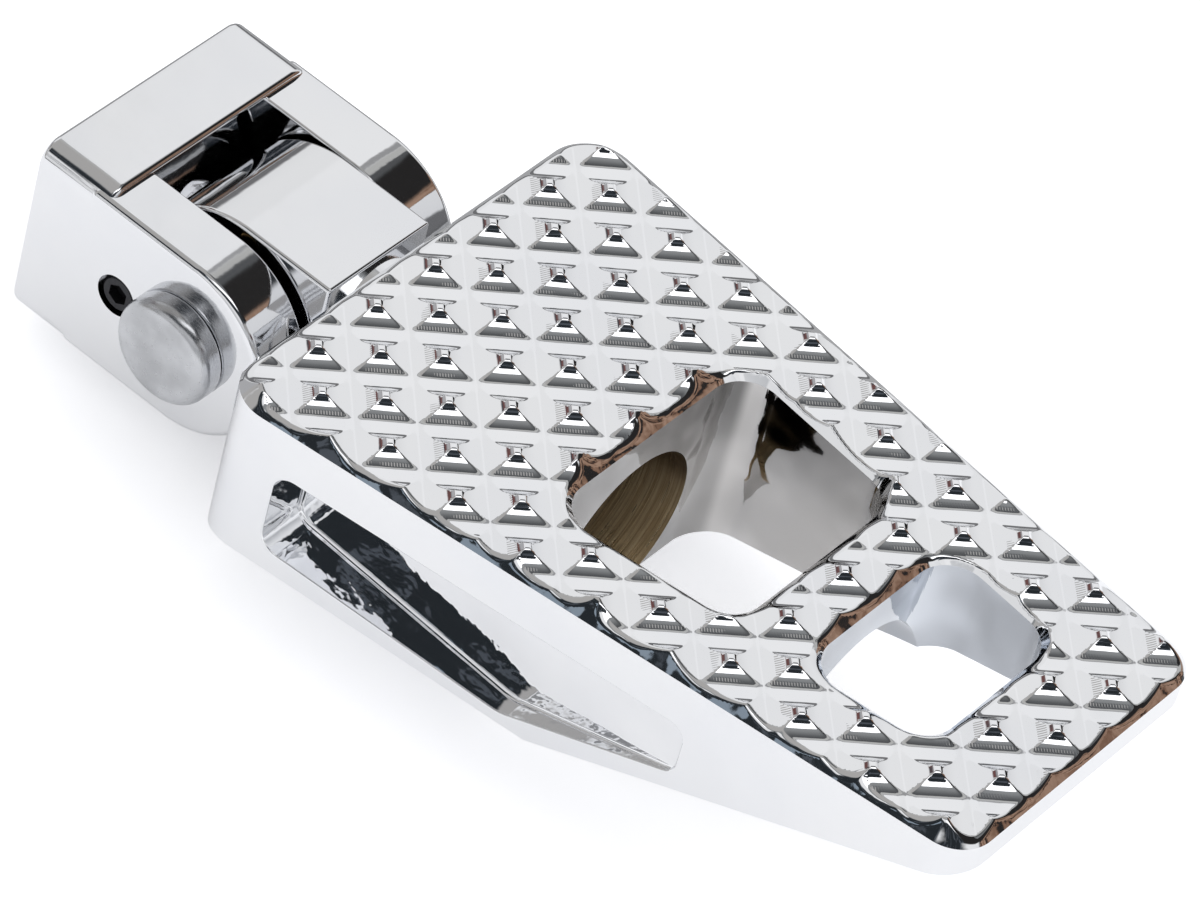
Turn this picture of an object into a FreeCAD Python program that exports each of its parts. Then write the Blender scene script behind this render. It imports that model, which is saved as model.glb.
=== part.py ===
import FreeCAD, Part
import math
import os

# Folding foot peg, millimetres, shown folded down. Origin: centre of the bracket screw's hole in
# the clevis's flat rear face. +X runs along the long bore to the peg's tip, +Y is fore and aft,
# +Z is up. Every piece is built about the pivot pin's axis (X = Z = 0, along Y) and moved out by
# PIVOT_X at the end.

V = FreeCAD.Vector

# ---- shared dimensions ----
PIVOT_X = 24.5             # rear face to the pivot axis
GAP = 0.05                 # running clearance
FIT = 0.01                 # clearance of the pressed-in pieces
OVER = 1.0                 # overrun of a cutter past a face, or of one piece into another

# ---- peg body; "from the wide end" is measured along +X ----
BODY_X = 16.5              # pivot axis to the wide end face
BODY_L = 101.543
WIDE_HALF = 33.58          # half width at the wide end
HALF_SLOPE = 0.1136        # half width lost per unit of length
WIDE_CORNER_R, TIP_CORNER_R = 5.84, 5.11
EDGE_Z = 16.35             # sharp lower edge of the top chamfer
BOTTOM_Z = -14.6           # underside of the boss round the bore
BOTTOM_HALF = 10.0         # half width of that underside at the wide end

TREAD_PITCH = 7.3          # pitch of the square tread lattice
CHAMFER = 0.31 * TREAD_PITCH             # 45 degree top chamfer, up to the apex level
TOP_Z = EDGE_Z + CHAMFER
GROOVE_Z = EDGE_Z + 0.12 * TREAD_PITCH   # groove floor
APEX_FLAT = 0.05 * TREAD_PITCH           # half width of a pyramid's flat top
GROOVE_FLAT = 0.05 * TREAD_PITCH         # half width of a groove's flat floor
RIDGE_START = 0.3875 * TREAD_PITCH       # offset of ridge 0 from the wide end, on the diagonal
RIDGES = range(-6, 15)

SIDE_WALL = 11.826         # side face to a window
WINDOWS = [(37.23, 62.269), (71.102, 88.184)]   # start and end, from the wide end
WINDOW_R = 4.745

BORE_R = 11.575            # long bore on the X axis
BORE_END = 79.57           # from the wide end, inside the small window
SHOULDER = 13.0            # wide end face to the bolt's shoulder
BOLT_HOLE_R = 5.5
SOCKET_R, SOCKET_L = 8.05, 8.0

# Underside: a plane rising to the tip, and a bevel through two points of each side face's edge
TAPER_X, TAPER_Z, TAPER_SLOPE = 47.231, -6.28, 0.35
SIDE_EDGE = [(2.92, -5.185), (TAPER_X, -6.134)]  # x from the wide end, z

POCKET_FLOOR_Y = 25.55     # side pocket floors are parallel to the long axis
POCKET_DEPTH = 12.0        # how far the cutter runs outwards
# x from the wide end, z, corner radius
POCKET = [(9.928, 9.78, 2.555), (65.992, 9.999, 2.19), (65.992, 2.845, 2.044),
          (43.8, -4.455, 6.57), (9.928, -2.119, 2.555)]

# ---- angle setting: a pin in the mount, a curved slot in the body ----
INDEX_Z = 10.2             # pin centre above the X axis, also the slot's centre radius
INDEX_R = 1.5
INDEX_HOLE_L = 3.0         # depth in the mount
INDEX_PIN_BACK, INDEX_PIN_FRONT = 2.9, 4.2   # pin ends either side of the body's end face
INDEX_CHAMFER = 0.3
SLOT_ANGLE = 15.0 + 0.5    # degrees either way, with clearance
SLOT_HALF = INDEX_R + 0.1
SLOT_DEPTH = 4.6

# ---- male mount ----
TONGUE_HALF = 9.0          # half thickness
TONGUE_R = 13.4            # round upper rear corner, and the top and rear faces
TONGUE_BOTTOM = -12.5
FLANGE_R, FLANGE_X = 12.5, 12.9
SPIGOT_R, SPIGOT_L = 8.0, 7.9
THREAD_R, THREAD_START = 5.05, 11.5
BUSH_R = 6.5

# ---- clevis, pin and dowel ----
EAR_IN, EAR_OUT, EAR_R = 9.8, 17.8, 12.5
EAR_CHAMFER = 0.9
BASE_X0, BASE_X1, BASE_HALF_Z = -PIVOT_X, -13.45, 13.4
BASE_CORNER_R, BASE_CHAMFER = 3.0, 0.8
BRACKET_THREAD_R = 4.25

PIN_R = 4.75
PIN_HEAD_R, PIN_HEAD_T, PIN_HEAD_FILLET = 7.0, 3.4, 1.6
PIN_HEAD_Y = -(EAR_OUT + GAP)            # underside of the head
PIN_END_Y, PIN_CHAMFER = EAR_OUT + 3.4, 0.8
PIN_GROOVE_R = 3.8
PIN_GROOVE_Y = (EAR_OUT + 0.1, EAR_OUT + 1.4)

DOWEL_R, DOWEL_Z, DOWEL_IN, DOWEL_OUT = 2.5, -9.3, 6.0, 4.0
DOWEL_END_GAP, DOWEL_CHAMFER = 0.1, 0.4
NOSE_R, NOSE_CHAMFER = 2.25, 0.5         # the dowel's thinner nose enters the bracket

# ---- washers and clip on the pivot pin ----
PIVOT_WASHER_R = 7.4
THRUST_HOLE_R = PIN_R + 0.1
WAVE_HOLE_R = PIN_R + 0.15
WAVE_T, WAVE_GAP, WAVES = 0.3, 0.06, 3
WAVE_POINTS = 48

CLIP_Y, CLIP_T = EAR_OUT + 0.2, 1.1
CLIP_RO, CLIP_RI = 7.8, 5.4
LOBE_RO, LOBE_RI, LOBE_HALF = 6.0, 3.82, 1.5
LOBE_ANGLES = (90, 200, 340)             # degrees from +X towards +Z
MOUTH_HALF, MOUTH_Z = 9.0, -9.5          # the mouth is a wedge that opens downwards

# ---- detent in the -Y ear ----
BALL_R, BALL_X = 2.0, -9.8
BALL_Y = -(TONGUE_HALF + BALL_R + 0.03)
BALL_TRAVEL = 0.5
DIMPLE_R = BALL_R + 0.15
DETENT_STEP_Y = -15.0                    # the ball's bore meets the wider screw hole
SCREW_HOLE_R = 2.5
SCREW_R, SCREW_CHAMFER = 2.45, 0.3
SCREW_Y = (-(EAR_OUT - 0.3), -15.1)
SCREW_AF, SCREW_SOCKET = 2.5, 1.3        # hexagon across flats, depth
SPRING_R, SPRING_WIRE_R, SPRING_PITCH = 1.4, 0.22, 0.55
SPRING_Y = (-14.75, -13.10)

# ---- bolt stack in the bore, from the shoulder towards the tip ----
SEAT_GAP = 0.02
FLAT_X = BODY_X + SHOULDER + SEAT_GAP
FLAT_T, FLAT_RO, FLAT_RI, FLAT_CHAMFER = 2.0, 10.0, 5.3, 0.3
LOCK_X = FLAT_X + FLAT_T + 0.05
LOCK_T, LOCK_RO, LOCK_RI = 2.2, 8.0, 5.2
HEAD_X = LOCK_X + LOCK_T + SEAT_GAP
HEAD_R, HEAD_T, HEAD_FILLET = 8.0, 10.0, 0.8
BOLT_R, BOLT_L, BOLT_CHAMFER = 5.0, 20.0, 0.8
BOLT_AF, BOLT_SOCKET = 8.0, 5.0


# ---- helpers ----
def box(x0, x1, y0, y1, z0, z1):
    return Part.makeBox(x1 - x0, y1 - y0, z1 - z0, V(x0, y0, z0))


def cyl_x(radius, x0, x1, y=0.0, z=0.0):
    return Part.makeCylinder(radius, x1 - x0, V(x0, y, z), V(1, 0, 0))


def cyl_y(radius, y0, y1, x=0.0, z=0.0):
    return Part.makeCylinder(radius, y1 - y0, V(x, y0, z), V(0, 1, 0))


def rounded_wire(points, radii):
    """Closed wire through 3-D points in one plane, with arcs at its corners."""
    corners = []           # start, middle and end of each corner's arc
    count = len(points)
    points = [V(*p) for p in points]
    for i, radius in enumerate(radii):
        corner = points[i]
        if radius <= 0:
            corners.append((corner, corner, corner))
            continue
        back = points[i - 1] - corner
        ahead = points[(i + 1) % count] - corner
        back.normalize()
        ahead.normalize()
        half = 0.5 * back.getAngle(ahead)
        reach = radius / math.tan(half)
        inward = back + ahead
        inward.normalize()
        centre = corner + inward * (radius / math.sin(half))
        corners.append((corner + back * reach, centre - inward * radius, corner + ahead * reach))
    edges = []
    for i, (start, middle, end) in enumerate(corners):
        if radii[i] > 0:
            edges.append(Part.Arc(start, middle, end).toShape())
        following = corners[(i + 1) % count][0]
        if end.distanceToPoint(following) > 1e-7:
            edges.append(Part.makeLine(end, following))
    return Part.Wire(edges)


def prism(points, sweep, radii=None):
    wire = rounded_wire(points, radii or [0] * len(points))
    return Part.Face(wire).extrude(V(*sweep))


def beyond(point, normal):
    """A very large block that fills the outer side of a plane."""
    block = Part.makeBox(400, 400, 80, V(-200, -200, 0))
    normal = V(normal)
    normal.normalize()
    block.Placement = FreeCAD.Placement(point, FreeCAD.Rotation(V(0, 0, 1), normal))
    return block


def hexagon(across_flats, base, axis, length):
    """Hexagonal prism along +X or +Y, for a socket."""
    radius = across_flats / math.sqrt(3.0)
    base, axis = V(*base), V(*axis)
    up = V(0, 0, 1)
    side = axis.cross(up)
    points = []
    for k in range(6):
        angle = math.radians(60 * k)
        p = base + up * (radius * math.cos(angle)) + side * (radius * math.sin(angle))
        points.append((p.x, p.y, p.z))
    return prism(points, tuple(axis * length))


def edges_at(shape, axis, place):
    """Edges that lie wholly in the plane where the axis ("X", "Y" or "Z") has this value."""
    return [e for e in shape.Edges
            if abs(getattr(e.BoundBox, axis + "Min") - place) < 1e-4
            and abs(getattr(e.BoundBox, axis + "Max") - place) < 1e-4]


# ---- peg body ----
def half_width(x):
    return WIDE_HALF - HALF_SLOPE * x


def tapered_block(x0, x1, inset, r0, r1, z0, z1):
    """Block between two stations, its sides parallel to the body's side faces."""
    a, b = half_width(x0) - inset, half_width(x1) - inset
    x0, x1 = BODY_X + x0, BODY_X + x1
    points = [(x0, -a, z0), (x1, -b, z0), (x1, b, z0), (x0, a, z0)]
    return prism(points, (0, 0, z1 - z0), [r0, r1, r1, r0])


def ridges(sign):
    """One family of long ridges on a diagonal. Their peaks are sharp and stand above TOP_Z,
    so that the body's top cuts them off flat."""
    diagonal = math.sqrt(0.5)
    across = V(diagonal, sign * diagonal, 0)
    along = V(diagonal, -sign * diagonal, 0)
    pitch = TREAD_PITCH
    slope = (TOP_Z - GROOVE_Z) / (0.5 * pitch - APEX_FLAT - GROOVE_FLAT)
    peak = TOP_Z + slope * APEX_FLAT
    low = BOTTOM_Z - 12.0
    first, last = RIDGES[0], RIDGES[-1]
    profile = [(RIDGE_START + (first - 0.5) * pitch, low)]   # offset across, z
    for k in RIDGES:
        offset = RIDGE_START + k * pitch
        flat_before = GROOVE_FLAT if k > first else 0.0
        flat_after = GROOVE_FLAT if k < last else 0.0
        profile.append((offset - 0.5 * pitch + flat_before, GROOVE_Z))
        profile.append((offset, peak))
        profile.append((offset + 0.5 * pitch - flat_after, GROOVE_Z))
    profile.append((RIDGE_START + (last + 0.5) * pitch, low))
    base = V(BODY_X, 0, 0) - along * 120
    ring = []
    for offset, z in profile:
        p = base + across * offset
        ring.append(V(p.x, p.y, z))
    ring.append(ring[0])
    return Part.Face(Part.makePolygon(ring)).extrude(along * 260)


def index_slot():
    """Curved slot about the X axis: one closed outline of four tangent arcs."""
    def at(radius, angle, past=0.0):
        """Point at a radius and angle, moved past it along the tangent."""
        y = -(radius * math.sin(angle) + past * math.cos(angle))
        z = radius * math.cos(angle) - past * math.sin(angle)
        return V(BODY_X - OVER, y, z)

    end = math.radians(SLOT_ANGLE)
    outer, inner = INDEX_Z + SLOT_HALF, INDEX_Z - SLOT_HALF
    arcs = [(at(outer, -end), at(outer, 0), at(outer, end)),
            (at(outer, end), at(INDEX_Z, end, SLOT_HALF), at(inner, end)),
            (at(inner, end), at(inner, 0), at(inner, -end)),
            (at(inner, -end), at(INDEX_Z, -end, -SLOT_HALF), at(outer, -end))]
    wire = Part.Wire([Part.Arc(*points).toShape() for points in arcs])
    return Part.Face(wire).extrude(V(OVER + SLOT_DEPTH, 0, 0))


def side_bevel(side):
    """Everything below a plane from a side face's lower edge to the boss's underside."""
    p1, p2 = [V(BODY_X + x, side * half_width(x), z) for x, z in SIDE_EDGE]
    p3 = V(BODY_X, side * BOTTOM_HALF, BOTTOM_Z)
    normal = (p2 - p1).cross(p3 - p1)
    if normal.z > 0:
        normal = normal * -1.0
    return beyond(p1, normal)


def side_pocket(side):
    points = [(BODY_X + x, side * POCKET_FLOOR_Y, z) for x, z, _ in POCKET]
    return prism(points, (0, side * POCKET_DEPTH, 0), [radius for _, _, radius in POCKET])


def peg_body():
    body = tapered_block(0, BODY_L, 0, WIDE_CORNER_R, TIP_CORNER_R, BOTTOM_Z, TOP_Z)
    for start, end in WINDOWS:
        body = body.cut(tapered_block(start, end, SIDE_WALL, WINDOW_R, WINDOW_R,
                                      BOTTOM_Z - 5, TOP_Z + 5))
    body = body.makeChamfer(CHAMFER, edges_at(body, "Z", TOP_Z))
    body = body.cut(beyond(V(BODY_X + TAPER_X, 0, TAPER_Z), V(TAPER_SLOPE, 0, -1)))
    for side in (-1, 1):
        body = body.cut(side_bevel(side))
    body = body.common(ridges(1)).common(ridges(-1))
    # long bore, spigot socket, bolt hole
    body = body.cut(cyl_x(BORE_R, BODY_X + SHOULDER, BODY_X + BORE_END))
    body = body.cut(cyl_x(SOCKET_R, BODY_X - OVER, BODY_X + SOCKET_L))
    body = body.cut(cyl_x(BOLT_HOLE_R, BODY_X, BODY_X + SHOULDER + OVER))
    body = body.cut(index_slot())
    for side in (-1, 1):
        body = body.cut(side_pocket(side))
    return body


# ---- male mount and what it carries ----
def tongue():
    r, y, front = TONGUE_R, -TONGUE_HALF, FLANGE_X + OVER
    diagonal = r * math.sqrt(0.5)
    arc = Part.Arc(V(-r, y, 0), V(-diagonal, y, diagonal), V(0, y, r)).toShape()
    points = [V(0, y, r), V(front, y, r), V(front, y, TONGUE_BOTTOM),
              V(-r, y, TONGUE_BOTTOM), V(-r, y, 0)]
    lines = [Part.makeLine(a, b) for a, b in zip(points, points[1:])]
    face = Part.Face(Part.Wire(Part.__sortEdges__([arc] + lines)))
    shape = face.extrude(V(0, 2 * TONGUE_HALF, 0))
    # where it runs into the flange it is trimmed to the flange's round
    surround = cyl_x(40, FLANGE_X, BODY_X + 5)
    return shape.cut(surround.cut(cyl_x(FLANGE_R, FLANGE_X - OVER, BODY_X + 6)))


def male_mount():
    flange = cyl_x(FLANGE_R, FLANGE_X, BODY_X - GAP)
    spigot = cyl_x(SPIGOT_R, BODY_X - OVER, BODY_X + SPIGOT_L)
    mount = tongue().fuse(flange).fuse(spigot)
    mount = mount.cut(cyl_y(BUSH_R + FIT, -30, 30))
    mount = mount.cut(cyl_x(THREAD_R, THREAD_START, BODY_X + SPIGOT_L + OVER))
    mount = mount.cut(cyl_x(INDEX_R + FIT, BODY_X - INDEX_HOLE_L, BODY_X + OVER, z=INDEX_Z))
    # detent dimples in the -Y face: folded down, then folded up
    for x, z in ((BALL_X, 0), (0, -BALL_X)):
        mount = mount.cut(Part.makeSphere(DIMPLE_R, V(x, BALL_Y + BALL_TRAVEL, z)))
    return mount.removeSplitter()


def pivot_bush():
    half = TONGUE_HALF - GAP
    return cyl_y(BUSH_R, -half, half).cut(cyl_y(PIN_R + GAP, -half - OVER, half + OVER))


def index_pin():
    x0, x1 = BODY_X - INDEX_PIN_BACK, BODY_X + INDEX_PIN_FRONT
    pin = cyl_x(INDEX_R, x0, x1, z=INDEX_Z)
    return pin.makeChamfer(INDEX_CHAMFER, edges_at(pin, "X", x0) + edges_at(pin, "X", x1))


def thrust_washer():
    """Flat washer in the gap on the tongue's -Y side."""
    washer = cyl_y(PIVOT_WASHER_R, -(EAR_IN - GAP), -(TONGUE_HALF + GAP))
    return washer.cut(cyl_y(THRUST_HOLE_R, -20, 0))


def wave_washer():
    """Three wave spring washer in the gap on the tongue's +Y side."""
    middle = 0.5 * (EAR_IN + TONGUE_HALF)
    height = 0.5 * (EAR_IN - TONGUE_HALF) - WAVE_GAP - 0.5 * WAVE_T

    def loop(radius, offset):
        points = []
        for k in range(WAVE_POINTS):
            angle = 2 * math.pi * k / WAVE_POINTS
            y = middle + height * math.sin(WAVES * angle) + offset
            points.append(V(radius * math.cos(angle), y, radius * math.sin(angle)))
        curve = Part.BSplineCurve()
        curve.interpolate(Points=points, PeriodicFlag=True)
        return curve.toShape()

    # section corners in order: inner and outer at low Y, then outer and inner at high Y
    low, high = -WAVE_T / 2, WAVE_T / 2
    loops = [loop(WAVE_HOLE_R, low), loop(PIVOT_WASHER_R, low),
             loop(PIVOT_WASHER_R, high), loop(WAVE_HOLE_R, high)]
    shell = Part.makeShell([Part.makeRuledSurface(loops[i], loops[(i + 1) % 4])
                            for i in range(4)])
    shell.sewShape()
    solid = Part.Solid(Part.Shell(shell.Faces))
    solid.fix(1e-6, 1e-6, 1e-6)
    if solid.Volume < 0:
        solid.reverse()
    return solid


# ---- bolt stack in the bore ----
def bolt_flat_washer():
    end = FLAT_X + FLAT_T
    washer = cyl_x(FLAT_RO, FLAT_X, end).cut(cyl_x(FLAT_RI, FLAT_X - OVER, end + OVER))
    outer_rim = [e for e in edges_at(washer, "X", end) if e.BoundBox.YLength > 15]
    return washer.makeChamfer(FLAT_CHAMFER, outer_rim)


def bolt_lock_washer():
    """Ring with a slanting split at its top."""
    x0, x1 = LOCK_X - OVER, LOCK_X + LOCK_T + OVER
    washer = cyl_x(LOCK_RO, LOCK_X, LOCK_X + LOCK_T).cut(cyl_x(LOCK_RI, x0, x1))
    split = prism([(x0, -0.9, 3), (x1, 0.9, 3), (x1, 1.6, 3), (x0, -0.2, 3)], (0, 0, 9))
    return washer.cut(split)


def mount_bolt():
    top, tip = HEAD_X + HEAD_T, HEAD_X - BOLT_L
    head = cyl_x(HEAD_R, HEAD_X, top)
    head = head.makeFillet(HEAD_FILLET, edges_at(head, "X", top))
    shank = cyl_x(BOLT_R, tip, HEAD_X + OVER)
    shank = shank.makeChamfer(BOLT_CHAMFER, edges_at(shank, "X", tip))
    socket = hexagon(BOLT_AF, (top - BOLT_SOCKET, 0, 0), (1, 0, 0), BOLT_SOCKET + 3.0)
    return head.fuse(shank).cut(socket)


# ---- clevis and what it carries ----
def clevis_ear(side):
    y0, y1 = sorted((side * EAR_IN, side * EAR_OUT))
    ear = box(BASE_X1 - 3, 0, y0, y1, -EAR_R, EAR_R).fuse(cyl_y(EAR_R, y0, y1)).removeSplitter()
    # the outer rim is chamfered all round, except its straight end inside the base
    rim = [e for e in edges_at(ear, "Y", side * EAR_OUT) if e.BoundBox.XMax > BASE_X1]
    return ear.makeChamfer(EAR_CHAMFER, rim)


def clevis():
    body = box(BASE_X0, BASE_X1, -EAR_OUT, EAR_OUT, -BASE_HALF_Z, BASE_HALF_Z)
    body = body.makeFillet(BASE_CORNER_R, [e for e in body.Edges if e.BoundBox.XLength > 10])
    body = body.makeChamfer(BASE_CHAMFER, edges_at(body, "X", BASE_X0))
    for side in (-1, 1):
        body = body.fuse(clevis_ear(side))
    body = body.removeSplitter()
    rear = BASE_X0 - OVER
    for cutter in (
            cyl_y(PIN_R + GAP, -40, 40),
            cyl_x(BRACKET_THREAD_R, rear, BASE_X1 + OVER),
            cyl_x(DOWEL_R + FIT, rear, BASE_X0 + DOWEL_IN, z=DOWEL_Z),
            cyl_y(BALL_R + GAP, DETENT_STEP_Y, -EAR_IN + OVER, x=BALL_X),
            cyl_y(SCREW_HOLE_R, -30, DETENT_STEP_Y, x=BALL_X)):
        body = body.cut(cutter)
    return body


def clevis_dowel():
    inner, outer = BASE_X0 + DOWEL_IN - DOWEL_END_GAP, BASE_X0 - DOWEL_OUT
    body = cyl_x(DOWEL_R, BASE_X0, inner, z=DOWEL_Z)
    body = body.makeChamfer(DOWEL_CHAMFER, edges_at(body, "X", inner))
    nose = cyl_x(NOSE_R, outer, BASE_X0 + OVER, z=DOWEL_Z)
    nose = nose.makeChamfer(NOSE_CHAMFER, edges_at(nose, "X", outer))
    return body.fuse(nose)


def pivot_pin():
    """Headed at the -Y ear, grooved for the clip beyond the +Y ear."""
    head_top = PIN_HEAD_Y - PIN_HEAD_T
    head = cyl_y(PIN_HEAD_R, head_top, PIN_HEAD_Y)
    head = head.makeFillet(PIN_HEAD_FILLET, edges_at(head, "Y", head_top))
    shank = cyl_y(PIN_R, PIN_HEAD_Y - OVER, PIN_END_Y)
    shank = shank.makeChamfer(PIN_CHAMFER, edges_at(shank, "Y", PIN_END_Y))
    groove = cyl_y(PIN_R + 2, *PIN_GROOVE_Y).cut(cyl_y(PIN_GROOVE_R, EAR_OUT, EAR_OUT + 3))
    return head.fuse(shank).cut(groove).removeSplitter()


def retaining_clip():
    """E shaped clip in the pin's groove, with three inner lobes."""
    y0, y1 = CLIP_Y, CLIP_Y + CLIP_T
    below, above = y0 - OVER, y1 + OVER
    ring = cyl_y(CLIP_RO, y0, y1).cut(cyl_y(CLIP_RI, below, above))
    mouth = [(0, below, 0), (-MOUTH_HALF, below, MOUTH_Z), (MOUTH_HALF, below, MOUTH_Z)]
    ring = ring.cut(prism(mouth, (0, above - below, 0)))
    lobe_zone = cyl_y(LOBE_RO, y0, y1).cut(cyl_y(LOBE_RI, below, above))
    for degrees in LOBE_ANGLES:
        c, s = math.cos(math.radians(degrees)), math.sin(math.radians(degrees))
        # distance along the lobe, distance to its side
        corners = [(0, LOBE_HALF), (0, -LOBE_HALF), (LOBE_RO, -LOBE_HALF), (LOBE_RO, LOBE_HALF)]
        points = [(c * out - s * side, y0, s * out + c * side) for out, side in corners]
        ring = ring.fuse(prism(points, (0, CLIP_T, 0)).common(lobe_zone))
    return ring.removeSplitter()


def detent_ball():
    return Part.makeSphere(BALL_R, V(BALL_X, BALL_Y, 0))


def detent_spring():
    """Short compression spring between the ball and its screw, wound along Z, then laid on Y."""
    helix = Part.makeHelix(SPRING_PITCH, SPRING_Y[1] - SPRING_Y[0], SPRING_R)
    section = Part.Wire([Part.makeCircle(SPRING_WIRE_R, V(SPRING_R, 0, 0), V(0, 1, 0))])
    spring = Part.Wire(helix).makePipeShell([section], True, True)
    spring.rotate(V(0, 0, 0), V(1, 0, 0), 90)
    spring.translate(V(BALL_X, SPRING_Y[1], 0))
    return spring


def detent_screw():
    outer, inner = SCREW_Y
    screw = cyl_y(SCREW_R, outer, inner, x=BALL_X)
    screw = screw.makeChamfer(SCREW_CHAMFER, edges_at(screw, "Y", outer))
    socket = hexagon(SCREW_AF, (BALL_X, outer - 0.5, 0), (0, 1, 0), SCREW_SOCKET + 0.5)
    return screw.cut(socket)


# ---- export: each file is named after its function ----
PIECES = (peg_body, male_mount, pivot_bush, index_pin, thrust_washer, wave_washer,
          bolt_flat_washer, bolt_lock_washer, mount_bolt,
          clevis, clevis_dowel, pivot_pin, retaining_clip,
          detent_ball, detent_spring, detent_screw)

os.makedirs("parts", exist_ok=True)
for piece in PIECES:
    shape = piece()
    shape.translate(V(PIVOT_X, 0, 0))
    # a boolean may wrap its one solid in a compound
    if len(shape.Solids) == 1 and shape.ShapeType != "Solid":
        shape = shape.Solids[0]
    shape.exportStep(os.path.join("parts", piece.__name__ + ".step"))
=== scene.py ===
import math

import bpy
import numpy as np
from mathutils import Matrix, Vector


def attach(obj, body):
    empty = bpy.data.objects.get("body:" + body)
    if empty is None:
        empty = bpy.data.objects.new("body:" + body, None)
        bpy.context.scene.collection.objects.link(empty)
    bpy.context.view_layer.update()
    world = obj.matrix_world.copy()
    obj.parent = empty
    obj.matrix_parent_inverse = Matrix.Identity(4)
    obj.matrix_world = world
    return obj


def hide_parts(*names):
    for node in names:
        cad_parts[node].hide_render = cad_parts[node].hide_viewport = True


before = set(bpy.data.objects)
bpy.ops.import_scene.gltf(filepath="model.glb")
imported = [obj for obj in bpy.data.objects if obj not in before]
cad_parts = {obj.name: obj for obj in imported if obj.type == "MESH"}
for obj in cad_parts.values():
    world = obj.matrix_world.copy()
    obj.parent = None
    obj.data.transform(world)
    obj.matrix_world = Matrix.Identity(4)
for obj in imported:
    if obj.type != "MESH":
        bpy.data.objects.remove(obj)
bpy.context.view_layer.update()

scene = bpy.context.scene

# ------------------------------------------------------------------ dimensions, mm, row frame
P = 7.3
X0, L_BODY, ZT = 41.0, 13.91 * 7.3, 16.35
HW0, HW_SLOPE = 4.60 * P, 0.1136
R_WIDE, R_TIP, R_WIN = 0.80 * P, 0.70 * P, 0.65 * P
TOP, FLOOR_Z = 0.31 * P, 0.12 * P
APEX, FLOOR_HALF = 0.062 * P, 0.05 * P
U0 = 0.3875 * P
WALL = 1.62 * P
WIN1, WIN2 = (5.10 * P, 8.53 * P), (9.74 * P, 12.08 * P)
BORE_R, BORE_END, SHOULDER = 11.575, 10.9 * P, 13.0
BOTTOM_Z, BOTTOM_HW = -14.6, 10.0
TAPER_X, TAPER_Z, TAPER = 6.47 * P, ZT - 3.10 * P, 0.35
EDGE_Z0, EDGE_Z1 = ZT - 2.95 * P, ZT - 3.08 * P
POCKET_FLOOR = 3.50 * P
POCKET = [(1.36, -0.90), (9.04, -0.87), (9.04, -1.85), (6.00, -2.85), (1.36, -2.53)]
POCKET_R = [0.35, 0.30, 0.28, 0.9, 0.35]
POCKET_FILLET, RIM = 0.62, 0.20
N_GRID = 32          # tread samples per pitch


def half_width(x):
    return HW0 - HW_SLOPE * x


# ------------------------------------------------------------------ small mesh tools, mm in, metres out
def corners(points, radii):
    """Each corner of a closed 2-D polygon as (centre, normal in, normal out, radius, sharp point)."""
    pts = [np.array(p, float) for p in points]
    n = len(pts)
    area = sum(pts[i][0] * pts[(i + 1) % n][1] - pts[(i + 1) % n][0] * pts[i][1] for i in range(n))
    turn = 1.0 if area > 0 else -1.0
    out = []
    for i in range(n):
        a, b, c = pts[i - 1], pts[i], pts[(i + 1) % n]
        e1, e2 = (b - a) / np.linalg.norm(b - a), (c - b) / np.linalg.norm(c - b)
        n1, n2 = turn * np.array([e1[1], -e1[0]]), turn * np.array([e2[1], -e2[0]])
        r = radii[i]
        m = -(n1 + n2)
        m /= np.linalg.norm(m)
        cosh = float(np.clip(-(m @ n1), -1, 1))
        out.append((b + m * (r / max(cosh, 1e-9)), n1, n2, r, b))
    return out


def outline2d(points, radii, seg=20):
    """Rounded polygon as a list of 2-D points."""
    res = []
    for c, n1, n2, r, b in corners(points, radii):
        if r <= 0:
            res.append(b)
            continue
        a1, a2 = math.atan2(n1[1], n1[0]), math.atan2(n2[1], n2[0])
        d = (a2 - a1 + math.pi) % (2 * math.pi) - math.pi
        for k in range(seg + 1):
            t = a1 + d * k / seg
            res.append(c + r * np.array([math.cos(t), math.sin(t)]))
    return res


def signed_distance(points, radii):
    """Function of x, y arrays: distance to a rounded convex polygon, negative inside."""
    cs = corners(points, radii)
    lines = [(n2, float(n2 @ b)) for c, n1, n2, r, b in cs]

    def f(x, y):
        d = np.full(x.shape, -1e9)
        for n, k in lines:
            d = np.maximum(d, n[0] * x + n[1] * y - k)
        for c, n1, n2, r, b in cs:
            wx, wy = x - c[0], y - c[1]
            det = n1[0] * n2[1] - n1[1] * n2[0]
            a = (wx * n2[1] - wy * n2[0]) / det
            e = (n1[0] * wy - n1[1] * wx) / det
            zone = (a > 0) & (e > 0)
            d = np.where(zone, np.hypot(wx, wy) - r, d)
        return d
    return f


def make_mesh(name, verts, faces):
    me = bpy.data.meshes.new(name)
    me.from_pydata([tuple(v) for v in verts], [], faces)
    me.validate()
    ob = bpy.data.objects.new(name, me)
    scene.collection.objects.link(ob)
    return ob


def prism(name, pts, axis, lo, hi):
    """Closed prism of a 2-D outline. axis z: (x, y); axis y: (x, z); axis x: (y, z)."""
    place = {"z": lambda p, t: (p[0], p[1], t), "y": lambda p, t: (p[0], t, p[1]),
             "x": lambda p, t: (t, p[0], p[1])}[axis]
    n = len(pts)
    verts = [place(p, lo) for p in pts] + [place(p, hi) for p in pts]
    faces = [list(range(n))[::-1], list(range(n, 2 * n))]
    faces += [[i, (i + 1) % n, n + (i + 1) % n, n + i] for i in range(n)]
    ob = make_mesh(name, verts, faces)
    outward(ob)
    return ob


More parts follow.
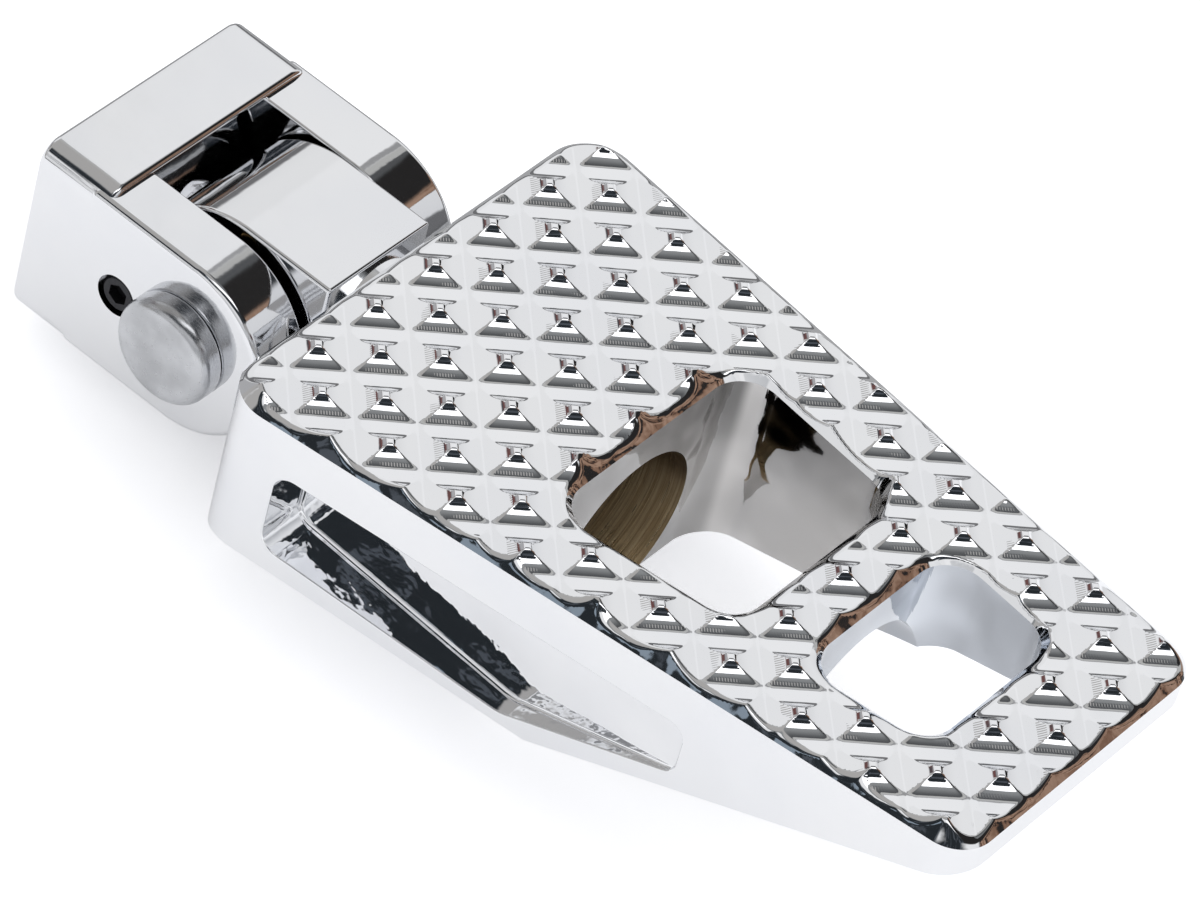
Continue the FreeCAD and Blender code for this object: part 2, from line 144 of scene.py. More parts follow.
def outward(ob):
    import bmesh
    bm = bmesh.new()
    bm.from_mesh(ob.data)
    bmesh.ops.recalc_face_normals(bm, faces=bm.faces)
    if bm.calc_volume(signed=True) < 0:
        bmesh.ops.reverse_faces(bm, faces=bm.faces)
    bm.to_mesh(ob.data)
    bm.free()


def loft(name, rings):
    """Closed skin through rings that have the same number of points."""
    n, verts, faces = len(rings[0]), [], []
    for ring in rings:
        verts += [tuple(p) for p in ring]
    for r in range(len(rings) - 1):
        a, b = r * n, (r + 1) * n
        for i in range(n):
            j = (i + 1) % n
            faces += [[a + i, a + j, b + j], [a + i, b + j, b + i]]
    faces += [list(range(n))[::-1], list(range(len(verts) - n, len(verts)))]
    ob = make_mesh(name, verts, faces)
    outward(ob)
    return ob


def cylinder_x(name, r, x0, x1, seg=160, y=0.0, z=0.0):
    pts = [(y + r * math.cos(2 * math.pi * (k + 0.5) / seg), z + r * math.sin(2 * math.pi * (k + 0.5) / seg)) for k in range(seg)]
    return prism(name, pts, "x", x0, x1)


def boolean(a, b, op):
    m = a.modifiers.new("b", "BOOLEAN")
    m.operation, m.object = op, b
    m.solver = "MANIFOLD"
    dg = bpy.context.evaluated_depsgraph_get()
    me = bpy.data.meshes.new_from_object(a.evaluated_get(dg))
    a.modifiers.clear()
    old = a.data
    a.data = me
    bpy.data.meshes.remove(old)
    bpy.data.objects.remove(b)
    return a


def halfspace(name, point, normal):
    """A big block beyond a plane."""
    n = Vector(normal).normalized()
    q = Vector((0, 0, 1)).rotation_difference(n)
    v = []
    for z in (0, 80):
        for x, y in ((-250, -250), (250, -250), (250, 250), (-250, 250)):
            v.append(tuple(q @ Vector((x, y, z)) + Vector(point)))
    ob = make_mesh(name, v, [[3, 2, 1, 0], [4, 5, 6, 7], [0, 1, 5, 4], [1, 2, 6, 5], [2, 3, 7, 6], [3, 0, 4, 7]])
    outward(ob)
    return ob


def read(me):
    co = np.zeros(len(me.vertices) * 3)
    me.vertices.foreach_get("co", co)
    return co.reshape(-1, 3)


# ------------------------------------------------------------------ the tread's height field
def trapezoid(x0, x1, inset):
    a, b = half_width(x0) - inset, half_width(x1) - inset
    return [(X0 + x0, -a), (X0 + x1, -b), (X0 + x1, b), (X0 + x0, a)]


OUTER = (trapezoid(0, L_BODY, 0), [R_WIDE, R_TIP, R_TIP, R_WIDE])
HOLE1 = (trapezoid(*WIN1, WALL), [R_WIN] * 4)
HOLE2 = (trapezoid(*WIN2, WALL), [R_WIN] * 4)
sd_outer, sd_1, sd_2 = signed_distance(*OUTER), signed_distance(*HOLE1), signed_distance(*HOLE2)

RISE, RUN = TOP - FLOOR_Z, 0.5 * P - APEX - FLOOR_HALF
R_GROOVE = (RUN ** 2 + RISE ** 2) / (2 * RISE)
CREASE, R_CREASED = 0.06 * P, 0.775 * P          # the u grooves are cut in two passes that meet in a crease


def smin(a, b, k):
    h = np.clip(0.5 + 0.5 * (b - a) / k, 0, 1)
    return b + (a - b) * h - k * h * (1 - h)


def groove(t):
    """Height across one family of grooves: flat topped ridges, ball-nosed hollows between."""
    a = np.abs((t + 0.5 * P) % P - 0.5 * P)
    w = np.clip(0.5 * P - FLOOR_HALF - a, 0, R_GROOVE * 0.995)
    rise = FLOOR_Z + R_GROOVE - np.sqrt(R_GROOVE ** 2 - w ** 2)
    step = 0.03 * np.clip((a - 0.452 * P) / (0.010 * P), 0, 1)       # the cutter's run-out line
    return smin(rise, np.full_like(rise, TOP), 0.045) - step


def creased(t):
    """The crossing family: no flat at the bottom, the two flanks meet in a line."""
    a = np.abs((t + 0.5 * P) % P - 0.5 * P)
    w = np.clip(0.5 * P + CREASE - a, 0, R_CREASED * 0.995)
    low = R_CREASED - math.sqrt(R_CREASED ** 2 - CREASE ** 2)
    rise = FLOOR_Z - 0.004 * P + R_CREASED - np.sqrt(R_CREASED ** 2 - w ** 2) - low
    return smin(rise, np.full_like(rise, TOP), 0.045)


S2 = math.sqrt(0.5)


def far_side(y, x, x_mid):
    """1 along the far edge of a window, where the cutter leant in more, else 0."""
    w = np.clip((y - (half_width(x - X0) - WALL) + 4.0) / 3.7, 0, 1)
    return w * w * (3 - 2 * w) * (np.abs(x - x_mid) < 16.0)


def height(x, y):
    u, v = (x - X0 + y) * S2 - U0, (x - X0 - y) * S2 - U0
    a, b = creased(u), groove(v)
    h = smin(a, b, 0.045 + 0.085 * np.clip(1.1 - (np.minimum(a, b) - FLOOR_Z) / RISE, 0, 1))
    h = smin(h, -sd_outer(x, y) + 0.14, 0.50)
    for sd, x_mid in ((sd_1, X0 + 0.5 * sum(WIN1)), (sd_2, X0 + 0.5 * sum(WIN2))):
        steep = far_side(y, x, x_mid)
        h = smin(h, (sd(x, y) + 0.02) * (1 + 0.85 * steep), 0.52 - 0.16 * steep)
    return h + ZT


def edge_zone(x, y):
    """True where the sloping edge band, not the tread, makes the surface."""
    u, v = (x - X0 + y) * S2 - U0, (x - X0 - y) * S2 - U0
    tread_h = np.minimum(creased(u), groove(v))
    band = np.minimum(0.12 - sd_outer(x, y), np.minimum(sd_1(x, y), sd_2(x, y))) + 0.02
    return band < tread_h + 0.25


def tread_slab():
    """Closed slab whose top is the height field, sampled on the tread's own diagonal lattice."""
    n = N_GRID
    d = P / n
    i0, i1, j0, j1 = -5 * n, 13 * n, -5 * n, 13 * n
    I, J = np.meshgrid(np.arange(i0, i1 + 1), np.arange(j0, j1 + 1), indexing="ij")
    U, W = U0 + I * d, U0 + J * d
    X, Y = X0 + (U + W) * S2, (U - W) * S2
    keep = (sd_outer(X, Y) < 1.2) & (sd_1(X, Y) > -1.2) & (sd_2(X, Y) > -1.2)
    cell = keep[:-1, :-1] & keep[1:, :-1] & keep[1:, 1:] & keep[:-1, 1:]
    idx = -np.ones(I.shape, int)
    a, b = np.nonzero(cell)
    used = np.zeros(I.shape, bool)
    for da, db in ((0, 0), (1, 0), (1, 1), (0, 1)):
        used[a + da, b + db] = True
    idx[used] = np.arange(used.sum())
    x, y = X[used], Y[used]
    z = height(x, y)
    m = len(x)
    top = np.c_[x, y, z]
    low = np.c_[x, y, np.full(m, -30.0)]
    q = np.c_[idx[a, b], idx[a + 1, b], idx[a + 1, b + 1], idx[a, b + 1]]
    # the lattice's u, w axes are left handed seen from above, so this order faces up
    A, B, C = top[q[0, 0]], top[q[0, 1]], top[q[0, 2]]
    if np.cross(B - A, C - B)[2] < 0:
        q = q[:, ::-1]
    # split each cell along the diagonal that follows the fold of the surface
    mid = height(top[q].mean(1)[:, 0], top[q].mean(1)[:, 1])
    d02 = np.abs(0.5 * (z[q[:, 0]] + z[q[:, 2]]) - mid)
    d13 = np.abs(0.5 * (z[q[:, 1]] + z[q[:, 3]]) - mid)
    f = d02 <= d13
    t1 = np.where(f[:, None], q[:, [0, 1, 2]], q[:, [0, 1, 3]])
    t2 = np.where(f[:, None], q[:, [0, 2, 3]], q[:, [1, 2, 3]])
    tris = np.vstack([t1, t2])
    e = np.vstack([q[:, [0, 1]], q[:, [1, 2]], q[:, [2, 3]], q[:, [3, 0]]])
    key = np.sort(e, 1)
    _, inv, cnt = np.unique(key, axis=0, return_inverse=True, return_counts=True)
    rim = e[cnt[inv.reshape(-1)] == 1]
    side = np.c_[rim[:, 1], rim[:, 0], rim[:, 0] + m, rim[:, 1] + m]
    faces = [tuple(t) for t in tris.tolist()] + [tuple(t[::-1] + m) for t in q] + [tuple(t) for t in side.tolist()]
    me = bpy.data.meshes.new("slab")
    me.from_pydata(np.vstack([top, low]).tolist(), [], [tuple(int(k) for k in t) for t in faces])
    ob = bpy.data.objects.new("slab", me)
    scene.collection.objects.link(ob)
    return ob


def inset(points, radii, d):
    """The same rounded polygon moved in by d."""
    res, rr = [], []
    for c, n1, n2, r, b in corners(points, radii):
        m = np.array([n1, n2])
        res.append(np.linalg.solve(m, m @ b - d))
        rr.append(max(r - d, 0.02))
    return res, rr


def pocket_cutter(side):
    """Side pocket: ball-nosed floor corner, broken rim, its mouth on the sloping side face."""
    pts = [np.array((X0 + x * P, ZT + z * P)) for x, z in POCKET]
    rad = [r * P for r in POCKET_R]
    o0 = np.array(outline2d(pts, rad, 14))
    o1 = np.array(outline2d(*inset(pts, rad, 0.5), 14))
    step = (o1 - o0) / 0.5
    face = half_width(o0[:, 0] - X0)
    fil = np.minimum(POCKET_FILLET, np.maximum(face - RIM - POCKET_FLOOR - 0.03, 0.05))
    rings = []

    def ring(move, y):
        q = o0 + step * move[:, None]
        rings.append(np.c_[q[:, 0], side * y, q[:, 1]])

    one = np.ones(len(o0))
    ring(-RIM * one, 60.0 * one)
    for k in range(5):
        a = math.radians(90 * k / 4)
        ring(-RIM * (1 - math.sin(a)) * one, face - RIM * (1 - math.cos(a)) + (0.001 if k == 0 else 0.0))
    for k in range(8):
        a = math.radians(90 * k / 7)
        ring(fil * (1 - math.cos(a)), POCKET_FLOOR + fil * (1 - math.sin(a)))
    return loft("pocket", rings)


def peg_mesh():
    body = prism("peg", outline2d(*OUTER, seg=28), "z", BOTTOM_Z, 26.0)
    for k, h in enumerate((HOLE1, HOLE2)):
        body = boolean(body, prism("w%d" % k, outline2d(*h, seg=24), "z", -60, 60), "DIFFERENCE")
    body = boolean(body, halfspace("t", (X0 + TAPER_X, 0, TAPER_Z), (TAPER, 0, -1)), "DIFFERENCE")
    for s in (-1, 1):
        p1 = Vector((X0 + 0.4 * P, s * half_width(0.4 * P), EDGE_Z0))
        p2 = Vector((X0 + TAPER_X, s * half_width(TAPER_X), EDGE_Z1))
        p3 = Vector((X0, s * BOTTOM_HW, BOTTOM_Z))
        nn = (p2 - p1).cross(p3 - p1)
        if nn.z > 0:
            nn = -nn
        body = boolean(body, halfspace("s", p1, nn), "DIFFERENCE")
    body = boolean(body, cylinder_x("bore", BORE_R, X0 + SHOULDER, X0 + BORE_END, 192), "DIFFERENCE")
    body = boolean(body, cylinder_x("socket", 8.05, X0 - 2, X0 + 8.0, 96), "DIFFERENCE")
    body = boolean(body, cylinder_x("clear", 5.5, X0 + 1, X0 + SHOULDER + 1, 72), "DIFFERENCE")
    for s in (-1, 1):
        body = boolean(body, pocket_cutter(s), "DIFFERENCE")
    body = boolean(body, tread_slab(), "INTERSECT")
    return body


def finish_normals(ob, angle=32.0):
    """Exact normals on the tread from its height field, area weighted smooth normals elsewhere."""
    me = ob.data
    co = read(me)
    nl, nf = len(me.loops), len(me.polygons)
    lv = np.zeros(nl, int); me.loops.foreach_get("vertex_index", lv)
    start = np.zeros(nf, int); me.polygons.foreach_get("loop_start", start)
    total = np.zeros(nf, int); me.polygons.foreach_get("loop_total", total)
    fn = np.zeros(nf * 3); me.polygons.foreach_get("normal", fn); fn = fn.reshape(-1, 3)
    fc = np.zeros(nf * 3); me.polygons.foreach_get("center", fc); fc = fc.reshape(-1, 3)
    fa = np.zeros(nf); me.polygons.foreach_get("area", fa)
    hz = height(fc[:, 0], fc[:, 1])
    tread = (fn[:, 2] > 0.25) & (np.abs(fc[:, 2] - hz) < 0.12) & (fc[:, 2] > ZT - 0.3)
    lf = np.repeat(np.arange(nf), total)
    normals = fn[lf].copy()
    rows = tread[lf]
    p = co[lv[rows]]
    h = 0.012
    gx = (height(p[:, 0] + h, p[:, 1]) - height(p[:, 0] - h, p[:, 1])) / (2 * h)
    gy = (height(p[:, 0], p[:, 1] + h) - height(p[:, 0], p[:, 1] - h)) / (2 * h)
    g = np.c_[-gx, -gy, np.ones(len(gx))]
    normals[rows] = g / np.linalg.norm(g, axis=1)[:, None]
    # elsewhere
    rest = np.nonzero(~tread)[0]
    by_vertex = {}
    for f in rest:
        for k in range(start[f], start[f] + total[f]):
            by_vertex.setdefault(lv[k], []).append(f)
    c = math.cos(math.radians(angle))
    for f in rest:
        for k in range(start[f], start[f] + total[f]):
            near = np.array(by_vertex[lv[k]])
            ok = fn[near] @ fn[f] > c
            w = (fn[near[ok]] * fa[near[ok]][:, None]).sum(0)
            normals[k] = w / max(np.linalg.norm(w), 1e-12)
    me.polygons.foreach_set("use_smooth", np.ones(nf, bool))
    return me, normals, fn, fc, tread


body = peg_mesh()
body.name = "peg_body_visual"
body.data.name = "peg_body_visual"
me, normals, fn, fc, tread = finish_normals(body)

# materials by face: 0 chrome, 1 bare metal in the blind part of the bore
radial = np.hypot(fc[:, 1], fc[:, 2])
inward = -(fn[:, 1] * fc[:, 1] + fn[:, 2] * fc[:, 2]) / np.maximum(radial, 1e-6)
bore = (np.abs(radial - BORE_R) < 0.25) & (inward > 0.97) & (fc[:, 0] < X0 + WIN1[0] + 0.1)
shoulder = (fc[:, 0] > X0 + SHOULDER - 0.3) & (fc[:, 0] < X0 + SHOULDER + 0.3) & (radial < BORE_R) & (fn[:, 0] > 0.9)
bare = bore | shoulder
wall = (np.abs(fn[:, 2]) < 0.3) & ((np.abs(sd_1(fc[:, 0], fc[:, 1])) < 0.2) | (np.abs(sd_2(fc[:, 0], fc[:, 1])) < 0.2)) & ~bare
through = (np.abs(radial - BORE_R) < 0.25) & (inward > 0.97) & ~bare & ~tread
edge = tread & edge_zone(fc[:, 0], fc[:, 1])
face_y = half_width(fc[:, 0] - X0)
pocket = (np.abs(fc[:, 1]) > POCKET_FLOOR - 0.05) & (np.abs(fc[:, 1]) < face_y - 0.01) & (fc[:, 0] > X0 + 1.2 * P) & (fc[:, 0] < X0 + 9.3 * P) & ~tread & (fc[:, 2] < ZT - 0.7 * P) & (fc[:, 2] > BOTTOM_Z + 1.0)
under = np.abs(fn[:, 2]) > 0.9
pocket &= ~(under & (fc[:, 2] < ZT - 2.9 * P))
slots = np.select([bare, wall | through, edge, pocket], [1, 2, 3, 4], 0).astype(np.int32)
while len(me.materials) < 5:
    me.materials.append(None)
me.polygons.foreach_set("material_index", slots)
me.transform(Matrix.Scale(0.001, 4))
me.normals_split_custom_set([tuple(n) for n in normals])
me.update()


# ------------------------------------------------------------------ node helpers
def new_material(name):
    m = bpy.data.materials.new(name)
    m.use_nodes = True
    m.node_tree.nodes.clear()
    return m, m.node_tree


class G:
    """Short calls for a node tree."""
    def __init__(self, tree):
        self.t = tree

    def n(self, kind, **kw):
        node = self.t.nodes.new(kind)
        for k, v in kw.items():
            if k == "inputs":
                for key, val in v.items():
                    if isinstance(val, bpy.types.NodeSocket):
                        self.t.links.new(val, node.inputs[key])
                    else:
                        node.inputs[key].default_value = val
            else:
                setattr(node, k, v)
        return node

    def math(self, op, a, b=None, c=None, clamp=False):
        node = self.t.nodes.new("ShaderNodeMath")
        node.operation, node.use_clamp = op, clamp
        for i, v in enumerate((a, b, c)):
            if v is None:
                continue
            if isinstance(v, bpy.types.NodeSocket):
                self.t.links.new(v, node.inputs[i])
            else:
                node.inputs[i].default_value = v
        return node.outputs[0]

    def dot(self, vec, d):
        node = self.t.nodes.new("ShaderNodeVectorMath")
        node.operation = "DOT_PRODUCT"
        self.t.links.new(vec, node.inputs[0])
        node.inputs[1].default_value = d
        return node.outputs["Value"]

    def ramp(self, value, lo, hi, a=0.0, b=1.0):
        """Smooth step of value from lo to hi, mapped to a..b."""
        node = self.t.nodes.new("ShaderNodeMapRange")
        node.interpolation_type = "SMOOTHSTEP"
        self.t.links.new(value, node.inputs["Value"])
        for k, v in zip(("From Min", "From Max", "To Min", "To Max"), (lo, hi, a, b)):
            node.inputs[k].default_value = v
        return node.outputs["Result"]

    def mix(self, fac, a, b):
        node = self.t.nodes.new("ShaderNodeMix")
        node.data_type = "RGBA"
        for key, v in (("Factor", fac), ("A", a), ("B", b)):
            sock = [s for s in node.inputs if s.name == key and (s.type == "RGBA" or key == "Factor")][0]
            if isinstance(v, bpy.types.NodeSocket):
                self.t.links.new(v, sock)
            else:
                sock.default_value = v
        return [s for s in node.outputs if s.type == "RGBA"][0]

    def link(self, a, b):
        self.t.links.new(a, b)


def principled(g, **kw):
    b = g.n("ShaderNodeBsdfPrincipled", inputs=kw)
    out = g.n("ShaderNodeOutputMaterial")
    g.link(b.outputs[0], out.inputs[0])
    return b


def bump(g, height_socket, strength, distance):
    b = g.n("ShaderNodeBump", inputs={"Height": height_socket, "Strength": strength, "Distance": distance})
    return b.outputs[0]


def chrome(name, tint=(0.90, 0.905, 0.915), rough=0.035, tool=0.0, wave=0.00010, wave_scale=170.0, fine_wave=0.0, tint2=None, split=None):
    """Mirror chrome plate: gentle waviness from polishing, orange peel, faint cutter marks, uneven polish."""
    m, t = new_material(name)
    g = G(t)
    co = g.n("ShaderNodeTexCoord").outputs["Object"]
    long = g.n("ShaderNodeTexNoise", inputs={"Vector": co, "Scale": wave_scale, "Detail": 0.0}).outputs["Fac"]
    peel = g.n("ShaderNodeTexNoise", inputs={"Vector": co, "Scale": 700.0, "Detail": 1.0, "Roughness": 0.5}).outputs["Fac"]
    fine = g.n("ShaderNodeTexNoise", inputs={"Vector": co, "Scale": 2600.0, "Detail": 2.0}).outputs["Fac"]
    cloud = g.n("ShaderNodeTexNoise", inputs={"Vector": co, "Scale": 60.0, "Detail": 3.0}).outputs["Fac"]
    h = g.math("MULTIPLY", long, wave)
    h = g.math("MULTIPLY_ADD", peel, 0.000006 + fine_wave, h)
    h = g.math("MULTIPLY_ADD", fine, 0.0000008, h)
    if tool:
        sep = g.n("ShaderNodeSeparateXYZ", inputs={"Vector": co})
        x, y, z = sep.outputs
        u = g.math("MULTIPLY", g.math("ADD", x, y), S2)
        v = g.math("MULTIPLY", g.math("SUBTRACT", x, y), S2)
        facing = g.n("ShaderNodeTexCoord").outputs["Normal"]
        patch = g.ramp(g.n("ShaderNodeTexNoise", inputs={"Vector": co, "Scale": 120.0, "Detail": 1.0}).outputs["Fac"], 0.46, 0.56)
        for a, d, lo_z, hi_z in ((u, (S2, -S2, 0), FLOOR_Z + 0.04, FLOOR_Z + 0.20), (v, (-S2, -S2, 0), FLOOR_Z + 0.30, FLOOR_Z + 0.85)):
            comb = g.math("MULTIPLY_ADD", g.math("SINE", g.math("MULTIPLY", a, 2 * math.pi / 0.00033)), 0.5, 0.5)
            here = g.math("MULTIPLY", g.ramp(g.dot(facing, d), 0.03, 0.10), patch)
            zone = g.math("MULTIPLY", g.ramp(z, (ZT + lo_z) / 1000, (ZT + lo_z + 0.04) / 1000),
                          g.ramp(z, (ZT + hi_z - 0.06) / 1000, (ZT + hi_z) / 1000, 1.0, 0.0))
            h = g.math("MULTIPLY_ADD", comb, g.math("MULTIPLY", g.math("MULTIPLY", here, zone), tool), h)
    nrm = bump(g, h, 1.0, 1.0)
    r = g.ramp(cloud, 0.3, 0.75, rough * 0.7, rough * 1.5)
    base = (*tint, 1.0)
    shade = 0.965
    # with tint2 the walls' colour holds painted reflection: warm grey in the big window, blue-grey in the small one,
    # with painted shade and a painted highlight below
    if tint2:
        x = g.n("ShaderNodeSeparateXYZ", inputs={"Vector": co}).outputs[0]
        base = g.mix(g.ramp(x, split - 0.002, split + 0.002), (*tint, 1.0), (*tint2, 1.0))
        dim = g.n("ShaderNodeTexNoise", inputs={"Vector": co, "Scale": 95.0, "Detail": 1.0}).outputs["Fac"]
        low = g.mix(g.ramp(x, split - 0.002, split + 0.002), tuple(c * 0.80 for c in tint) + (1.0,), tuple(c * 0.78 for c in tint2) + (1.0,))
        tone = g.mix(g.ramp(dim, 0.35, 0.65), base, low)
        sep = g.n("ShaderNodeSeparateXYZ", inputs={"Vector": co}).outputs
        # painted shade: darker high on the walls and round the bore's mouth on the far side
        painted_shade_high = g.ramp(sep[2], (ZT - 14.0) / 1000, (ZT - 1.0) / 1000, 1.0, 0.50)
        mouth = g.math("MULTIPLY", g.ramp(sep[0], (X0 + WIN1[0] + 0.6) / 1000, (X0 + WIN1[0] + 4.5) / 1000, 1.0, 0.0),
                       g.ramp(sep[1], -0.008, 0.014))
        fac = g.math("MULTIPLY", painted_shade_high, g.math("SUBTRACT", 1.0, g.math("MULTIPLY", mouth, 0.45)))
        # painted highlight: a lighter band near the big window's mount-side end, on the far side
        corner = g.math("MULTIPLY", g.ramp(sep[0], (X0 + WIN1[0] + 1.3) / 1000, (X0 + WIN1[0] + 2.6) / 1000),
                        g.ramp(sep[0], (X0 + WIN1[0] + 5.0) / 1000, (X0 + WIN1[0] + 6.5) / 1000, 1.0, 0.0))
        corner = g.math("MULTIPLY", g.math("MULTIPLY", corner, g.ramp(sep[1], 0.0, 0.006)), 0.75)
        fac = g.math("MULTIPLY_ADD", g.math("SUBTRACT", 1.0, fac), corner, fac)
        # painted reflection: the small window's walls are lighter
        small = g.ramp(x, split - 0.002, split + 0.002, 0.0, 0.75)
        fac = g.math("MULTIPLY_ADD", g.math("SUBTRACT", 1.0, fac), small, fac)
        tone = g.n("ShaderNodeVectorMath", operation="SCALE", inputs={0: tone, "Scale": fac}).outputs["Vector"]
    else:
        tone = g.mix(g.ramp(cloud, 0.3, 0.8), base, (tint[0] * shade, tint[1] * 0.97, tint[2] * 0.985, 1.0))
    principled(g, **{"Base Color": tone, "Metallic": 1.0, "Roughness": r, "Normal": nrm})
    return m


def bare_bore():
    """Unplated brown metal with turning rings round the bore's axis."""
    m, t = new_material("bare_bore")
    g = G(t)
    co = g.n("ShaderNodeTexCoord").outputs["Object"]
    mapped = g.n("ShaderNodeMapping", inputs={"Vector": co, "Scale": (5200.0, 60.0, 60.0)}).outputs[0]
    rings = g.n("ShaderNodeTexNoise", inputs={"Vector": mapped, "Scale": 1.0, "Detail": 4.0, "Roughness": 0.7}).outputs["Fac"]
    wide = g.n("ShaderNodeMapping", inputs={"Vector": co, "Scale": (1400.0, 90.0, 90.0)}).outputs[0]
    streak = g.n("ShaderNodeTexNoise", inputs={"Vector": wide, "Scale": 1.0, "Detail": 3.0}).outputs["Fac"]
    tone = g.mix(g.ramp(rings, 0.3, 0.7), (0.55, 0.36, 0.17, 1), (1.0, 0.78, 0.47, 1))
    tone = g.mix(g.ramp(streak, 0.55, 0.75, 0.0, 0.6), tone, (0.34, 0.22, 0.12, 1))
    y = g.n("ShaderNodeSeparateXYZ", inputs={"Vector": co}).outputs[1]
    tone = g.mix(g.ramp(y, -0.004, 0.004), (0.016, 0.012, 0.009, 1), tone)      # painted shade: the near side of the bore is dark
    z = g.n("ShaderNodeSeparateXYZ", inputs={"Vector": co}).outputs[2]
    # painted shade: darker towards the top of the bore
    tone = g.mix(g.ramp(z, -0.008, 0.005), tone, (0.065, 0.045, 0.028, 1))
    h = g.math("ADD", rings, g.math("MULTIPLY", streak, 0.6))
    principled(g, **{"Base Color": tone, "Metallic": 0.65, "Roughness": g.ramp(streak, 0.3, 0.7, 0.26, 0.42),
                     "Anisotropic": 0.6, "Normal": bump(g, h, 0.8, 0.00004)})
    return m


def steel(name, tint, rough, lines=(60.0, 60.0, 60.0), metallic=1.0):
    """Machined steel: fine lines, a little colour change, uneven sheen."""
    m, t = new_material(name)
    g = G(t)
    co = g.n("ShaderNodeTexCoord").outputs["Object"]
    mapped = g.n("ShaderNodeMapping", inputs={"Vector": co, "Scale": lines}).outputs[0]
    grain = g.n("ShaderNodeTexNoise", inputs={"Vector": mapped, "Scale": 20.0, "Detail": 4.0, "Roughness": 0.65}).outputs["Fac"]
    cloud = g.n("ShaderNodeTexNoise", inputs={"Vector": co, "Scale": 150.0, "Detail": 3.0}).outputs["Fac"]
    dark = tuple(c * 0.75 for c in tint)
    tone = g.mix(g.ramp(cloud, 0.35, 0.7), (*tint, 1.0), (*dark, 1.0))
    principled(g, **{"Base Color": tone, "Metallic": metallic, "Roughness": g.ramp(grain, 0.3, 0.7, rough * 0.8, rough * 1.3),
                     "Normal": bump(g, grain, 0.35, 0.00002)})
    return m


CHROME = chrome("chrome_plate", tool=0.000014, wave=0.00012)
CHROME_PLAIN = chrome("chrome_plate_plain", tint=(0.86, 0.865, 0.875), rough=0.06, wave=0.00006)
# window walls: painted reflection tones, warm grey (tint) in the big window, blue-grey (tint2) in the small one
CHROME_WALL = chrome("chrome_window_walls", tint=(0.97, 0.95, 0.93), tint2=(0.80, 0.835, 0.89), split=(X0 + 9.1 * P) / 1000,
                     rough=0.065, wave=0.00026, wave_scale=230.0)
CHROME_EDGE = chrome("chrome_edge_band", rough=0.03, wave=0.00024, wave_scale=210.0, fine_wave=0.000004)
CHROME_POCKET = chrome("chrome_pocket", rough=0.03, wave=0.00040, wave_scale=110.0, fine_wave=0.000022)
BORE_MAT = bare_bore()
BRONZE = steel("bearing_bronze", (0.60, 0.38, 0.16), 0.28, (60.0, 900.0, 60.0))
ZINC = steel("bright_zinc_steel", (0.62, 0.63, 0.65), 0.22, (60.0, 700.0, 60.0))
BLACK = steel("black_oxide_steel", (0.045, 0.045, 0.05), 0.34, (300.0, 300.0, 300.0), 0.85)

me.materials[0] = CHROME
me.materials[1] = BORE_MAT
me.materials[2] = CHROME_WALL
me.materials[3] = CHROME_EDGE
me.materials[4] = CHROME_POCKET
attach(body, "peg")
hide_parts("peg_body")

def soften(node, body_name, width, segments=3, limit=32.0):
    """The same part with its sharp edges broken: a welded copy, rounded by a bevel, stands for the CAD node."""
    import bmesh
    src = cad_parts[node]
    bm = bmesh.new()
    bm.from_mesh(src.data)
    bmesh.ops.remove_doubles(bm, verts=bm.verts, dist=2e-6)
    bmesh.ops.dissolve_limit(bm, angle_limit=math.radians(1.0), verts=bm.verts, edges=bm.edges)
    mesh = bpy.data.meshes.new(node + "_finished")
    bm.to_mesh(mesh)
    bm.free()
    ob = bpy.data.objects.new(node + "_finished", mesh)
    scene.collection.objects.link(ob)
    mod = ob.modifiers.new("bevel", "BEVEL")
    mod.width, mod.segments, mod.limit_method = width / 1000, segments, "ANGLE"
    mod.angle_limit = math.radians(limit)
    mod.use_clamp_overlap, mod.miter_outer, mod.harden_normals = True, "MITER_ARC", False
    dg = bpy.context.evaluated_depsgraph_get()
    done = bpy.data.meshes.new_from_object(ob.evaluated_get(dg))
    ob.modifiers.clear()
    ob.data = done
    done.name = node + "_finished"
    done.polygons.foreach_set("use_smooth", np.ones(len(done.polygons), bool))
    bm = bmesh.new()
    bm.from_mesh(done)
    for e in bm.edges:
        e.smooth = len(e.link_faces) == 2 and e.calc_face_angle(0.0) < math.radians(30)
    bm.to_mesh(done)
    bm.free()
    wn = ob.modifiers.new("weighted", "WEIGHTED_NORMAL")
    wn.keep_sharp, wn.weight = True, 100
    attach(ob, body_name)
    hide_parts(node)
    return ob


def rounded_prism(name, points, radii, axis, lo, hi, r_lo, r_hi, seg=40, steps=5):
    """Rounded outline swept along an axis, with rounded rims at both ends."""
    place = {"z": lambda p, t: (p[0], p[1], t), "y": lambda p, t: (p[0], t, p[1]),
             "x": lambda p, t: (t, p[0], p[1])}[axis]
    pts = [np.array(p, float) for p in points]
    rings = []
    for k in range(steps + 1):
        a = math.radians(90 * k / steps)
        rings.append((r_lo * (1 - math.sin(a)), lo + r_lo * (1 - math.cos(a))))
    for k in range(steps + 1):
        a = math.radians(90 * (1 - k / steps))
        rings.append((r_hi * (1 - math.sin(a)), hi - r_hi * (1 - math.cos(a))))
    return loft(name, [[place(q, t) for q in outline2d(*inset(pts, radii, d), seg)] for d, t in rings])


def round_bar(name, axis, centre, r, lo, hi, r_lo, r_hi, seg=36):
    """A turned bar with rounded ends (negative radii flare it, for a countersunk cutter)."""
    a, b = centre
    sq = [(a - r, b - r), (a + r, b - r), (a + r, b + r), (a - r, b + r)]
    return rounded_prism(name, sq, [r - 0.001] * 4, axis, lo, hi, r_lo, r_hi, seg)


